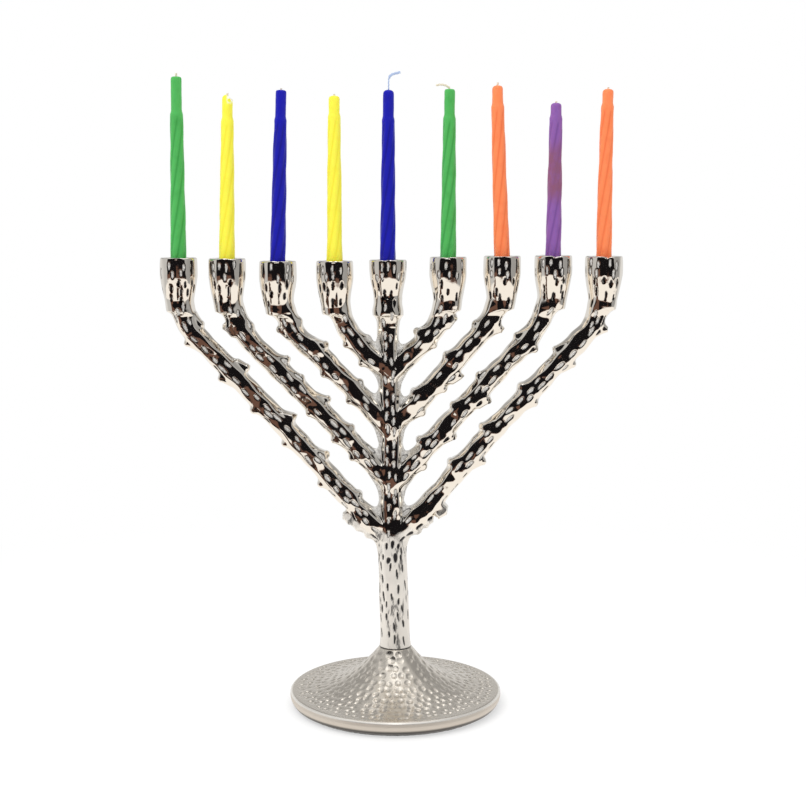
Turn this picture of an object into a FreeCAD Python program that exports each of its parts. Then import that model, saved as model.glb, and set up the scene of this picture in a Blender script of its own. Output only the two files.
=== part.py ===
import FreeCAD, Part
import math
import os

# A nine-branched candlestick in the form of a tree, cast in aluminium.
# Millimetres, +Z up, +X to the right of a person facing it, origin at the middle of the
# base's underside on the table. Every arm lies in the plane y = 0. The trunk and its arms
# are one casting: each arm is a solid of its own that ends on the trunk's surface.

# ---- driving dimensions -------------------------------------------------------------

# felt pad and base
FELT_RADIUS = 55.5
FELT_THICKNESS = 1.0
BASE_RADIUS = 59.9
BASE_FOOT_RADIUS = 57.0
BASE_WIDEST_Z = 6.2
BASE_EDGE_Z = 9.0
BASE_EDGE_ROLL = 1.3
BASE_WALL = 3.2
BELL_POWER = 2.7
SEAM_Z = 33.0
SEAM_RADIUS = 9.15
BOSS_RADIUS = 10.5
BOSS_BOTTOM_Z = 14.0

# M6 bolt that holds the tree on its base, with a flat and a spring washer
BOLT_RADIUS = 3.0
BOLT_CLEARANCE_RADIUS = 3.3
BOLT_GRIP_IN_TREE = 16.0
BOLT_HEAD_ACROSS_FLATS = 10.0
BOLT_HEAD_HEIGHT = 4.0
FLAT_WASHER_RADIUS = 6.0
FLAT_WASHER_THICKNESS = 1.6
SPRING_WASHER_RADIUS = 5.6
SPRING_WASHER_THICKNESS = 1.6
SPRING_WASHER_SPLIT = 1.2

# trunk: height, sideways place of its axis, radius
TRUNK_STATIONS = [
    (33.0, 0.0, SEAM_RADIUS),
    (37.5, -0.2, 8.35),
    (62.0, -0.9, 8.25),
    (90.0, -1.7, 7.8),
    (122.0, -2.0, 6.7),
    (154.0, -2.3, 6.2),
    (184.0, -3.2, 5.7),
    (205.0, -3.7, 5.0),
    (213.0, -3.8, 6.0),
    (222.0, -3.9, 7.6),
    (227.0, -3.9, 8.0),
]

# arms, by the number of their cup: centre-line from the trunk out to the cup, as (x, z)
ARM_RADIUS = 5.9
ARM_ROUTES = {
    1: [(-1.5, 95), (-21.5, 115.5), (-62.5, 160.5), (-101.5, 201.5), (-116, 216), (-119.0, 236)],
    2: [(-2, 127), (-32.5, 159), (-69.5, 196.5), (-85.5, 212.5), (-92.4, 236)],
    3: [(-2, 157), (-26, 183), (-41, 198.5), (-57, 212), (-64.5, 235)],
    4: [(-3, 190), (-15, 199.5), (-28.5, 215.5), (-33.2, 235)],
    6: [(-3, 189), (13, 204), (25, 217), (29.1, 236)],
    7: [(-2, 160), (15.5, 176), (38, 201.5), (53, 217.5), (58.8, 236)],
    8: [(-2, 126), (16, 145.5), (49, 182), (79.5, 214.5), (86.9, 236)],
    9: [(-1, 97), (18, 114), (51, 153.5), (97.5, 202.5), (111, 217.5), (114.8, 236)],
}
BEND_SHARE = 0.45
SIDES_MEET_X = -3.3  # where arms of the two sides meet, being wider than the trunk there

# knots, where a twig was cut off: how far along its arm each one stands, and how far its
# tip is from the arm's centre-line. A positive reach is on the upper side of the arm.
KNOTS = {
    1: [(34, 7.5), (50, -8.5), (64, 9), (80, -8.5), (91, 9.5), (106, -8), (130, 10),
        (130, -9), (158, -8.5), (169, 10.5)],
    2: [(25, -7.5), (38, -8), (40, 8), (59, -7.5), (61, 9.5), (80, 7.8), (92, 9),
        (122, -9), (123, 8)],
    3: [(27, -8), (33, 7.5), (47, -7.5), (62, 8.8), (80, -8), (84, 7.5)],
    4: [(14, -8), (24, 7.5), (26, -7.5)],
    6: [(26, -7.8), (29, 8.5), (42, -9)],
    7: [(15, -8.5), (25, 8), (33, -7.5), (44, -10.5), (52, 8), (75, 7.8), (79, -9)],
    8: [(18, -8), (31, 8.2), (42, -9), (59, 8), (69, -9.5), (80, 8), (109, -8), (111, 8)],
    9: [(29, -12.5), (55, 8.3), (63, -9.5), (82, 8), (107, -8), (112, 7.8), (137, -8.5),
        (141, 8.8), (164, -9)],
}
KNOT_FOOT_HEIGHT = 3.5
KNOT_FOOT_RADIUS = 4.2
KNOT_TIP_RADIUS = 1.3

# cups, left to right: (x, z) of the middle of each rim
CUP_RIMS = [
    (-119.0, 253.2),
    (-92.4, 252.8),
    (-64.5, 251.4),
    (-33.2, 251.4),
    (-3.9, 252.0),
    (29.1, 253.6),
    (58.8, 254.1),
    (86.9, 254.4),
    (114.8, 254.0),
]
CUP_RADIUS = 10.3
CUP_LIP = 1.2
CUP_WAIST_RADIUS = 8.9
CUP_WAIST_DEPTH = 20.0
CUP_FOOT_RADIUS = 6.6
CUP_HEIGHT = 29.0
MIDDLE_CUP = 5
SOCKET_RADIUS = 5.3
SOCKET_DEPTH = 13.0

# candles, left to right: lean to the right in degrees, height of the shoulder above the
# cup's rim, height of the tip above the cup's rim
CANDLES = [
    (0.4, 77.6, 97.5),
    (1.1, 74.5, 88.2),
    (1.8, 76.3, 92.2),
    (0.2, 78.1, 89.1),
    (0.3, 75.7, 91.6),
    (0.3, 75.0, 90.5),
    (-2.1, 80.7, 91.9),
    (0.3, 74.2, 82.3),
    (0.4, 80.8, 90.1),
]
CANDLE_FOOT_RADIUS = 4.4
CANDLE_SHOULDER_RADIUS = 3.5
CANDLE_NECK_RADIUS = 2.95
CANDLE_SHOULDER_SLOPE = 1.6
CANDLE_TIP_RADIUS = 1.5
CANDLE_SEAT_GAP = 0.3

# wicks: the free end above each candle's tip, as (sideways, up) points
WICK_RADIUS = 0.6
WICK_START = 4.0
WICK_STUB = [(0.0, 0.0), (0.0, 0.9)]
WICK_TIPS = {
    1: [(0.0, 0.0), (0.0, 1.8)],
    5: [(0.0, 0.0), (0.1, 5.0), (1.9, 8.2), (6.4, 9.4)],
    6: [(0.0, 0.0), (-1.2, 2.0), (-4.2, 2.7), (-7.0, 1.3)],
    7: [(0.0, 0.0), (0.3, 1.6)],
}


# ---- helpers ------------------------------------------------------------------------

def point(x, z, y=0.0):
    return FreeCAD.Vector(x, y, z)


def save(shape, node):
    shape.exportStep("parts/" + node + ".step")


def cylinder(radius, height, base, direction=FreeCAD.Vector(0, 0, 1)):
    return Part.makeCylinder(radius, height, base, direction)


def rounded_path(points):
    """Straight runs joined by tangent arcs, each as large as its two runs allow."""
    edges = []
    start = points[0]
    for before, corner, after in zip(points, points[1:], points[2:]):
        run_in = corner - before
        run_out = after - corner
        turn = run_in.getAngle(run_out)
        cut = BEND_SHARE * min(run_in.Length, run_out.Length)
        arc_start = corner - run_in.normalize() * cut
        arc_end = corner + run_out.normalize() * cut
        radius = cut / math.tan(turn / 2)
        inward = (arc_start + arc_end) * 0.5 - corner
        centre = corner + inward.normalize() * (radius / math.cos(turn / 2))
        arc_middle = centre + (corner - centre).normalize() * radius
        edges.append(Part.LineSegment(start, arc_start).toShape())
        edges.append(Part.Arc(arc_start, arc_middle, arc_end).toShape())
        start = arc_end
    edges.append(Part.LineSegment(start, points[-1]).toShape())
    return Part.Wire(edges)


def tube(points, radius):
    """Solid round bar along a rounded path."""
    path = rounded_path(points)
    direction = points[1] - points[0]
    section = Part.Wire([Part.makeCircle(radius, points[0], direction)])
    return path.makePipeShell([section], True, True)


def place_on_route(route, distance):
    """Point on the straight runs of a route, and the direction of its upper side."""
    for start, end in zip(route, route[1:]):
        run = end - start
        if distance <= run.Length:
            break
        distance -= run.Length
    along = FreeCAD.Vector(run).normalize()
    side = point(abs(along.z), abs(along.x))
    if along.x > 0:
        side = point(-along.z, along.x)
    return start + along * distance, side


def revolved(edges):
    """Solid of revolution about the Z axis from a closed outline in the plane y = 0."""
    face = Part.Face(Part.Wire(edges))
    return face.revolve(FreeCAD.Vector(0, 0, 0), FreeCAD.Vector(0, 0, 1), 360)


def line(start, end):
    return Part.LineSegment(start, end).toShape()


def curve(points):
    spline = Part.BSplineCurve()
    spline.interpolate(points)
    return spline.toShape()


# ---- tree: trunk and arms -------------------------------------------------------------

def cup_solid(x, rim_z):
    """Tulip-shaped cup on the end of an arm, without its socket."""
    foot = point(CUP_FOOT_RADIUS, -CUP_HEIGHT)
    widest = point(CUP_RADIUS, -0.3 * CUP_HEIGHT)
    under_lip = point(CUP_RADIUS, -CUP_LIP)
    lip_corner = CUP_LIP * (1 - math.sqrt(0.5))
    lip_middle = point(CUP_RADIUS - lip_corner, -lip_corner)
    lip_top = point(CUP_RADIUS - CUP_LIP, 0)
    side = curve([foot, point(CUP_WAIST_RADIUS, -CUP_WAIST_DEPTH), widest, under_lip])
    outline = [
        line(point(0, -CUP_HEIGHT), foot),
        side,
        Part.Arc(under_lip, lip_middle, lip_top).toShape(),
        line(lip_top, point(0, 0)),
        line(point(0, 0), point(0, -CUP_HEIGHT)),
    ]
    cup = revolved(outline)
    cup.translate(point(x, rim_z))
    return cup


def trunk_solid():
    sections = []
    for z, x, radius in TRUNK_STATIONS:
        circle = Part.makeCircle(radius, point(x, z), FreeCAD.Vector(0, 0, 1))
        sections.append(Part.Wire([circle]))
    return Part.makeLoft(sections, True, False)


def knot_solid(route, distance, reach):
    """Blunt thorn on the upper (positive reach) or lower side of an arm."""
    centre, upper = place_on_route(route, distance)
    outward = upper * math.copysign(1.0, reach)
    foot = centre + outward * KNOT_FOOT_HEIGHT
    height = abs(reach) - KNOT_FOOT_HEIGHT
    return Part.makeCone(KNOT_FOOT_RADIUS, KNOT_TIP_RADIUS, height, foot, outward)


def cup_with_socket(solid, number):
    """Adds a cup to the top of the trunk or of an arm, and sinks the candle's socket in it."""
    x, rim_z = CUP_RIMS[number - 1]
    socket_floor = point(x, rim_z - SOCKET_DEPTH)
    socket = cylinder(SOCKET_RADIUS, SOCKET_DEPTH + 1, socket_floor)
    return solid.fuse(cup_solid(x, rim_z)).cut(socket)


def trunk():
    """Trunk with the middle cup on top and the bolt's hole in its foot."""
    bolt_hole = cylinder(BOLT_RADIUS, BOLT_GRIP_IN_TREE + 2, point(0, SEAM_Z))
    return cup_with_socket(trunk_solid(), MIDDLE_CUP).cut(bolt_hole)


def other_side(number):
    """Box over everything that is across the trunk from an arm."""
    width = 2 * BASE_RADIUS
    corner_x = SIDES_MEET_X if number < MIDDLE_CUP else SIDES_MEET_X - width
    return Part.makeBox(width, 4 * ARM_RADIUS, CUP_RIMS[0][1], point(corner_x, 0, -2 * ARM_RADIUS))


def arm(number):
    """One arm with its knots and its cup. It ends on the trunk's surface, face to face."""
    route = [point(x, z) for x, z in ARM_ROUTES[number]]
    branch = tube(route, ARM_RADIUS)
    for distance, reach in KNOTS[number]:
        branch = branch.fuse(knot_solid(route, distance, reach))
    outside_trunk = branch.cut(trunk_solid()).cut(other_side(number))
    return cup_with_socket(outside_trunk, number)


# ---- base casting, felt and fastener --------------------------------------------------

def bell_height(radius):
    """Height of the base's upper surface: a flat rim that sweeps up to the seam."""
    share = (BASE_RADIUS - radius) / (BASE_RADIUS - SEAM_RADIUS)
    return BASE_EDGE_Z + (SEAM_Z - BASE_EDGE_Z) * share ** BELL_POWER


def bell_curve(inner_radius, outer_radius, drop, steps):
    points = []
    for step in range(steps + 1):
        radius = inner_radius + (outer_radius - inner_radius) * step / steps
        points.append(point(radius, bell_height(radius) - drop))
    return points


def base_casting():
    """Round foot: hammered disc and bell above, hollow below, with a boss for the bolt."""
    edge_radius = BASE_RADIUS - BASE_EDGE_ROLL
    upper = bell_curve(SEAM_RADIUS, edge_radius, 0.0, 12)
    hollow_radius = BASE_FOOT_RADIUS - BASE_WALL
    lower = bell_curve(BOSS_RADIUS + 4, hollow_radius, BASE_WALL, 9)
    foot_outer = point(BASE_FOOT_RADIUS, FELT_THICKNESS)
    foot_inner = point(hollow_radius, FELT_THICKNESS)
    widest = point(BASE_RADIUS, BASE_WIDEST_Z)
    roll_height = upper[-1].z - BASE_WIDEST_Z
    roll = point(BASE_RADIUS - 0.3 * BASE_EDGE_ROLL, BASE_WIDEST_Z + 0.7 * roll_height)
    boss_edge = point(BOSS_RADIUS, BOSS_BOTTOM_Z)
    outline = [
        line(point(0, SEAM_Z), upper[0]),
        curve(upper),
        Part.Arc(upper[-1], roll, widest).toShape(),
        line(widest, foot_outer),
        line(foot_outer, foot_inner),
        line(foot_inner, lower[-1]),
        curve(list(reversed(lower))),
        line(lower[0], boss_edge),
        line(boss_edge, point(0, BOSS_BOTTOM_Z)),
        line(point(0, BOSS_BOTTOM_Z), point(0, SEAM_Z)),
    ]
    base = revolved(outline)
    bolt_hole = cylinder(BOLT_CLEARANCE_RADIUS, SEAM_Z, point(0, 1))
    return base.cut(bolt_hole)


def base_bolt():
    """Hexagon-head bolt, pushed up through the base into the trunk."""
    head_top = BOSS_BOTTOM_Z - FLAT_WASHER_THICKNESS - SPRING_WASHER_THICKNESS
    corner_radius = BOLT_HEAD_ACROSS_FLATS / math.sqrt(3)
    corners = []
    for side in range(7):
        angle = math.radians(60 * side)
        x = corner_radius * math.cos(angle)
        y = corner_radius * math.sin(angle)
        corners.append(point(x, head_top - BOLT_HEAD_HEIGHT, y))
    head = Part.Face(Part.makePolygon(corners)).extrude(point(0, BOLT_HEAD_HEIGHT))
    shank_length = SEAM_Z + BOLT_GRIP_IN_TREE - head_top
    return head.fuse(cylinder(BOLT_RADIUS, shank_length, point(0, head_top)))


def flat_washer():
    bottom = point(0, BOSS_BOTTOM_Z - FLAT_WASHER_THICKNESS)
    ring = cylinder(FLAT_WASHER_RADIUS, FLAT_WASHER_THICKNESS, bottom)
    return ring.cut(cylinder(BOLT_CLEARANCE_RADIUS, FLAT_WASHER_THICKNESS, bottom))


def spring_washer():
    """Split ring, pressed flat between the bolt's head and the flat washer."""
    bottom_z = BOSS_BOTTOM_Z - FLAT_WASHER_THICKNESS - SPRING_WASHER_THICKNESS
    bottom = point(0, bottom_z)
    ring = cylinder(SPRING_WASHER_RADIUS, SPRING_WASHER_THICKNESS, bottom)
    ring = ring.cut(cylinder(BOLT_CLEARANCE_RADIUS, SPRING_WASHER_THICKNESS, bottom))
    corner = point(0, bottom_z, -0.5 * SPRING_WASHER_SPLIT)
    split = Part.makeBox(SPRING_WASHER_RADIUS + 1, SPRING_WASHER_SPLIT,
                         SPRING_WASHER_THICKNESS, corner)
    return ring.cut(split)


def felt_pad():
    return cylinder(FELT_RADIUS, FELT_THICKNESS, point(0, 0))


# ---- candles and wicks ----------------------------------------------------------------

def lean(shape, x, rim_z, degrees):
    """Turn a candle or wick, built upright on the cup's rim at the origin, to its lean."""
    shape.rotate(FreeCAD.Vector(0, 0, 0), FreeCAD.Vector(0, 1, 0), degrees)
    shape.translate(point(x, rim_z))
    return shape


def candle_foot_z():
    return CANDLE_SEAT_GAP - SOCKET_DEPTH


def candle(shoulder_z, tip_z):
    """Tapered candle with a thinner neck and a domed tip, drilled for its wick."""
    foot_z = candle_foot_z()
    dome_start = tip_z - CANDLE_NECK_RADIUS
    dome_bulge = point(0.88 * CANDLE_NECK_RADIUS, tip_z - 0.45 * CANDLE_NECK_RADIUS)
    outline = [
        line(point(WICK_RADIUS, foot_z), point(CANDLE_FOOT_RADIUS, foot_z)),
        line(point(CANDLE_FOOT_RADIUS, foot_z), point(CANDLE_FOOT_RADIUS, 0)),
        line(point(CANDLE_FOOT_RADIUS, 0), point(CANDLE_SHOULDER_RADIUS, shoulder_z)),
        line(point(CANDLE_SHOULDER_RADIUS, shoulder_z),
             point(CANDLE_NECK_RADIUS, shoulder_z + CANDLE_SHOULDER_SLOPE)),
        line(point(CANDLE_NECK_RADIUS, shoulder_z + CANDLE_SHOULDER_SLOPE),
             point(CANDLE_NECK_RADIUS, dome_start)),
        Part.Arc(point(CANDLE_NECK_RADIUS, dome_start), dome_bulge,
                 point(CANDLE_TIP_RADIUS, tip_z)).toShape(),
        line(point(CANDLE_TIP_RADIUS, tip_z), point(WICK_RADIUS, tip_z)),
        line(point(WICK_RADIUS, tip_z), point(WICK_RADIUS, foot_z)),
    ]
    return revolved(outline)


def wick(number, tip_z):
    """Cord through the candle, with its free end above the tip."""
    start_z = candle_foot_z() + WICK_START
    core = cylinder(WICK_RADIUS, tip_z - start_z, point(0, start_z))
    tip = WICK_TIPS.get(number, WICK_STUB)
    free_end = tube([point(x, tip_z + up) for x, up in tip], WICK_RADIUS)
    return core.fuse(free_end)


# ---- write every node -----------------------------------------------------------------

os.makedirs("parts", exist_ok=True)
save(trunk(), "trunk")
for number in ARM_ROUTES:
    save(arm(number), "arm_%d" % number)
save(base_casting(), "base_casting")
save(base_bolt(), "base_bolt")
save(flat_washer(), "flat_washer")
save(spring_washer(), "spring_washer")
save(felt_pad(), "felt_pad")
for number, (cup, row) in enumerate(zip(CUP_RIMS, CANDLES), start=1):
    cup_x, cup_z = cup
    degrees, shoulder_z, tip_z = row
    save(lean(candle(shoulder_z, tip_z), cup_x, cup_z, degrees), "candle_%d" % number)
    save(lean(wick(number, tip_z), cup_x, cup_z, degrees), "wick_%d" % number)
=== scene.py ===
import math

import bpy
import numpy as np
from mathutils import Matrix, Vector


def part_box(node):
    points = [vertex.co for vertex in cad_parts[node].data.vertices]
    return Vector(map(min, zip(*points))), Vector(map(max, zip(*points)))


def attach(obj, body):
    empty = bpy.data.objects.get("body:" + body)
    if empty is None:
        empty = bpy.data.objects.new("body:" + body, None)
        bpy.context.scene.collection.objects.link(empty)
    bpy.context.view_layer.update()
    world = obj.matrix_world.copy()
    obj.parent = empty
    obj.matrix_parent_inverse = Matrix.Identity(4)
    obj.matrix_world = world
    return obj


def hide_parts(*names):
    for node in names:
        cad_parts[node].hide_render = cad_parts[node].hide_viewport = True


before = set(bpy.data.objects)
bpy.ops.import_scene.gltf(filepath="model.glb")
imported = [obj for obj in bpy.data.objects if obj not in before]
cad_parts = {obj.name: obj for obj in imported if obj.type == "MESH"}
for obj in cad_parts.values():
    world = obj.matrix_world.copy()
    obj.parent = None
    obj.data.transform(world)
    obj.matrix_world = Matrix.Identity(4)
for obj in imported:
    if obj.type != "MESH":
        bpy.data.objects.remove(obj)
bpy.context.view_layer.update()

# A cast aluminium tree with nine cups, its hammered foot, and the candles that stand in it.
# Objects are in metres. The skeleton and the metal's surfaces are worked out in millimetres
# and turned to metres at the end.

MM = 0.001

# ---- skeleton of the tree, in millimetres ---------------------------------------------

SEAM_Z = 33.0
# (height, x, radius) up the trunk
TRUNK_STATIONS = [
    (33.0, 0.0, 9.15), (35.0, -0.1, 8.6), (38.5, -0.2, 8.3), (62.0, -0.9, 8.25), (90.0, -1.7, 7.8),
    (122.0, -2.0, 6.7), (154.0, -2.3, 6.2), (184.0, -3.2, 5.7), (205.0, -3.7, 5.0),
    (213.0, -3.8, 6.0), (222.0, -3.9, 6.9), (229.0, -3.9, 6.9),
]
ARM_RADIUS = 5.9
# (x, height) of the corners of each arm's centre-line
ARM_ROUTES = {
    1: [(-1.5, 94), (-23, 115.5), (-62.5, 160.5), (-101.5, 201.5), (-116, 216), (-119.0, 236)],
    2: [(-2, 127), (-32.5, 159), (-69.5, 196.5), (-85.5, 212.5), (-92.4, 236)],
    3: [(-2, 157), (-26, 183), (-41, 198.5), (-57, 212), (-64.5, 235)],
    4: [(-3, 190), (-15, 199.5), (-28.5, 215.5), (-33.2, 235)],
    6: [(-3, 189), (13, 204), (25, 217), (29.1, 236)],
    7: [(-2, 160), (15.5, 176), (38, 201.5), (53, 217.5), (58.8, 236)],
    8: [(-2, 126), (16, 145.5), (49, 182), (79.5, 214.5), (86.9, 236)],
    9: [(-1, 97), (18, 114), (51, 153.5), (97.5, 202.5), (111, 217.5), (114.8, 236)],
}
ARM_NODES = ["arm_%d" % number for number in ARM_ROUTES]
# (size, wavelength) of the ripples in an arm's width, and in the turn of its faces in degrees
ARM_SWELLS = [(0.22, 31), (0.16, 13)]
ARM_TURNS = [(5.0, 43), (4.0, 17)]
ARM_THINNING = 1.2
BEND_SHARE = 0.45

# knots: distance along the arm, and reach of the tip from its centre-line (+ is the upper side)
KNOTS = {
    1: [(34, 7.5), (50, -8.5), (64, 9), (80, -8.5), (91, 9.5), (106, -8), (130, 10),
        (130, -9), (158, -8.5), (169, 10.5)],
    2: [(25, -7.5), (38, -8), (40, 8), (59, -7.5), (61, 9.5), (80, 7.8), (92, 9),
        (122, -9), (123, 8)],
    3: [(27, -8), (33, 7.5), (47, -7.5), (62, 8.8), (80, -8), (84, 7.5)],
    4: [(14, -8), (24, 7.5), (26, -7.5)],
    6: [(26, -7.8), (29, 8.5), (42, -9)],
    7: [(15, -8.5), (25, 8), (33, -7.5), (44, -10.5), (52, 8), (75, 7.8), (79, -9)],
    8: [(18, -8), (31, 8.2), (42, -9), (59, 8), (69, -9.5), (80, 8), (109, -8), (111, 8)],
    9: [(29, -12.5), (55, 8.3), (63, -9.5), (82, 8), (107, -8), (112, 7.8), (137, -8.5),
        (141, 8.8), (164, -9)],
}
# the same for the broad flange under the roots of the lowest two arms
ROOT_KNOTS = {
    1: [(27, -11.2), (22, -10.8), (17, -10.0), (11, -9.2)],
    9: [(11, -8.8), (16, -9.4), (21, -9.8)],
}
# how far below an arm's centre-line the brushed patch at a root knot is centred
ROOT_BRUSHED_DROP = 10.0
KNOT_RISE = 5.6
KNOT_LEAN = 0.28
KNOT_FOOT_RADIUS = 4.7
KNOT_TIP_RADIUS = 1.9
KNOT_HALF_DEPTHS = (3.4, 4.9)

# a cup's turned outside: (depth below the rim, radius)
BARREL_PROFILE = [(0, 10.1), (3, 10.3), (10, 10.3), (15, 9.6), (20, 8.6), (25, 7.5), (29, 6.5)]
FLARED_PROFILE = [
    (0, 10.3), (6, 10.2), (10, 9.8), (14, 9.0), (18, 8.2), (22, 7.5), (25, 7.1), (29, 7.0),
]
CUP_RADIUS = 10.3
CUP_LIP = 0.8
CUP_HEIGHT = 29.0
CUP_FACE_DEPTH = 0.95
CUP_FACE_HALF_ANGLE = math.radians(30)
SOCKET_RADIUS = 5.3
SOCKET_DEPTH = 13.0
BOLT_RADIUS = 3.0
BOLT_HOLE_TOP = SEAM_Z + 18.0
MIDDLE_CUP = 5


def cup_rims():
    """(x, z) of the middle of each cup's rim, from the design's own boxes."""
    rims = {}
    for number in range(1, 10):
        low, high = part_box("trunk" if number == MIDDLE_CUP else "arm_%d" % number)
        x = low.x / MM + CUP_RADIUS if number <= MIDDLE_CUP else high.x / MM - CUP_RADIUS
        rims[number] = (x, high.z / MM)
    return rims


def smooth_profile(corners):
    """(depth, radius) every half millimetre down a cup, with the corners rounded off."""
    corners = np.array(corners, float)
    depth = np.arange(-4.0, CUP_HEIGHT + 4.1, 0.5)
    radius = np.interp(depth, corners[:, 0], corners[:, 1])
    kernel = np.hanning(11)
    radius[5:-5] = np.convolve(radius, kernel / kernel.sum(), "valid")
    return np.stack([depth, radius], axis=-1)[8:-8]


RIMS = cup_rims()
CUP_PROFILES = {number: smooth_profile(BARREL_PROFILE) for number in RIMS}
CUP_PROFILES[MIDDLE_CUP] = smooth_profile(FLARED_PROFILE)

# ---- small helpers --------------------------------------------------------------------


def link(name, data):
    obj = bpy.data.objects.new(name, data)
    bpy.context.scene.collection.objects.link(obj)
    return obj


def piece(name, mesh, material, body, replaced):
    """Finished piece in place of CAD nodes, on the body that they belong to."""
    mesh.materials.clear()
    mesh.materials.append(material)
    obj = link(name, mesh)
    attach(obj, body)
    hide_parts(*replaced)


def unit(vectors):
    length = np.linalg.norm(vectors, axis=-1, keepdims=True)
    return vectors / np.maximum(length, 1e-9)


def ramp(value, low, high):
    """0 below low, 1 above high, and an S-shaped rise between them."""
    t = np.clip((value - low) / (high - low), 0.0, 1.0)
    return t * t * (3 - 2 * t)


def lengths_along(points):
    """Distance along a line of points to each of them."""
    return np.concatenate([[0], np.cumsum(np.linalg.norm(np.diff(points, axis=0), axis=1))])


def points_at(stops, points, along):
    """Points at given distances along a line of points."""
    return np.stack([np.interp(stops, along, column) for column in points.T], axis=-1)


def grid_mesh(name, points, closed=False):
    """Mesh over rings of points, an array (rings, columns, 3), with quads wound outwards where
    the rings climb. The last ring joins the first, or both of them have caps."""
    rings, columns = points.shape[:2]
    spans = rings if closed else rings - 1
    r, c = np.meshgrid(np.arange(spans), np.arange(columns), indexing="ij")
    r_next, c_next = (r + 1) % rings, (c + 1) % columns
    corners = [(r, c), (r, c_next), (r_next, c_next), (r_next, c)]
    faces = np.stack([ring * columns + column for ring, column in corners], axis=-1)
    faces = faces.reshape(-1, 4).tolist()
    if not closed:
        faces.append(list(range(columns))[::-1])
        faces.append(list(range((rings - 1) * columns, rings * columns)))
    mesh = bpy.data.meshes.new(name)
    mesh.from_pydata(points.reshape(-1, 3).tolist(), [], faces)
    mesh.shade_smooth()
    return mesh


def lathe(profile, columns):
    """Grid of points from a profile of (radius, z) turned about the Z axis."""
    profile = np.asarray(profile, float)
    angle = np.arange(columns) * 2 * math.pi / columns
    around = np.stack([np.cos(angle), np.sin(angle)], axis=-1)
    points = np.zeros((len(profile), columns, 3))
    points[:, :, :2] = profile[:, None, :1] * around[None]
    points[:, :, 2] = profile[:, None, 1]
    return points


def leftwards(tangents):
    """Direction square to each tangent in the plane y = 0, to the left of one that points up."""
    nought = np.zeros(tangents.shape[:-1])
    return np.stack([-tangents[..., 2], nought, tangents[..., 0]], axis=-1)


def tube(centres, radii, side):
    """Grid of points round a centre-line in the plane y = 0, from radii (ring, column). The
    columns start at its left (side 1) or at its right (side -1)."""
    across = side * leftwards(unit(np.gradient(centres, axis=0)))
    angle = (np.arange(radii.shape[1]) * 2 * math.pi / radii.shape[1])[:, None]
    ring = np.cos(angle) * across[:, None] + np.sin(angle) * np.array([0.0, 1.0, 0.0])
    return centres[:, None] + ring * radii[:, :, None]


def read(items, field):
    flat = np.zeros(len(items) * 3, np.float32)
    items.foreach_get(field, flat)
    return flat.reshape(-1, 3).astype(float)


def set_vertices(mesh, points):
    mesh.vertices.foreach_set("co", points.astype(np.float32).ravel())
    mesh.update()


def set_attribute(mesh, name, values):
    layer = mesh.attributes.new(name, "FLOAT", "POINT")
    layer.data.foreach_set("value", values.astype(np.float32))


def waves(points, wavelength, seed, count=14):
    """Smooth random field of about unit size, from plane waves in seeded directions."""
    rng = np.random.default_rng(seed)
    total = np.zeros(len(points))
    for _ in range(count):
        direction = unit(rng.normal(size=3))
        length = wavelength * rng.uniform(0.7, 1.4)
        phase = rng.uniform(0, 2 * math.pi)
        total += np.sin(points @ direction * (2 * math.pi / length) + phase)
    return total / math.sqrt(count / 2)


# ---- node materials -------------------------------------------------------------------


class Nodes:
    """Short forms for building a node tree. Colours are (red, green, blue)."""

    def __init__(self, tree):
        self.tree = tree
        tree.nodes.clear()

    def add(self, kind, inputs=None, **settings):
        node = self.tree.nodes.new("ShaderNode" + kind)
        for name, value in settings.items():
            setattr(node, name, value)
        for key, value in (inputs or {}).items():
            socket = node.inputs[key]
            if isinstance(value, bpy.types.NodeSocket):
                self.tree.links.new(value, socket)
            else:
                socket.default_value = (*value, 1.0) if socket.type == "RGBA" else value
        return node

    def math(self, operation, *values):
        return self.add("Math", dict(enumerate(values)), operation=operation).outputs[0]

    def times(self, first, second):
        return self.math("MULTIPLY", first, second)

    def plus(self, first, second):
        return self.math("ADD", first, second)

    def minus(self, first, second):
        return self.math("SUBTRACT", first, second)

    def most(self, first, second):
        return self.math("MAXIMUM", first, second)

    def ramp(self, value, low, high, to_low=0.0, to_high=1.0):
        inputs = {0: value, 1: low, 2: high, 3: to_low, 4: to_high}
        return self.add("MapRange", inputs, interpolation_type="SMOOTHSTEP").outputs[0]

    def mix(self, factor, first, second):
        inputs = {0: factor, 6: first, 7: second}
        return self.add("Mix", inputs, data_type="RGBA").outputs[2]

    def noise(self, where, scale, detail=3.0, roughness=0.5):
        inputs = {"Vector": where, "Scale": scale, "Detail": detail, "Roughness": roughness}
        return self.add("TexNoise", inputs).outputs["Fac"]

    def attribute(self, name):
        return self.add("Attribute", attribute_name=name).outputs["Fac"]

    def bump(self, height, strength, distance, normal=None):
        inputs = {"Height": height, "Strength": strength, "Distance": distance}
        if normal is not None:
            inputs["Normal"] = normal
        return self.add("Bump", inputs).outputs["Normal"]

    def surface(self, shader, output="OutputMaterial"):
        self.add(output, {"Surface": shader.outputs[0]})

    def principled(self, inputs):
        self.surface(self.add("BsdfPrincipled", inputs))


def new_material(name):
    """A material, its nodes and its object coordinates."""
    material = bpy.data.materials.new(name)
    material.use_nodes = True
    nodes = Nodes(material.node_tree)
    return material, nodes, nodes.add("TexCoord").outputs["Object"]


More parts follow.
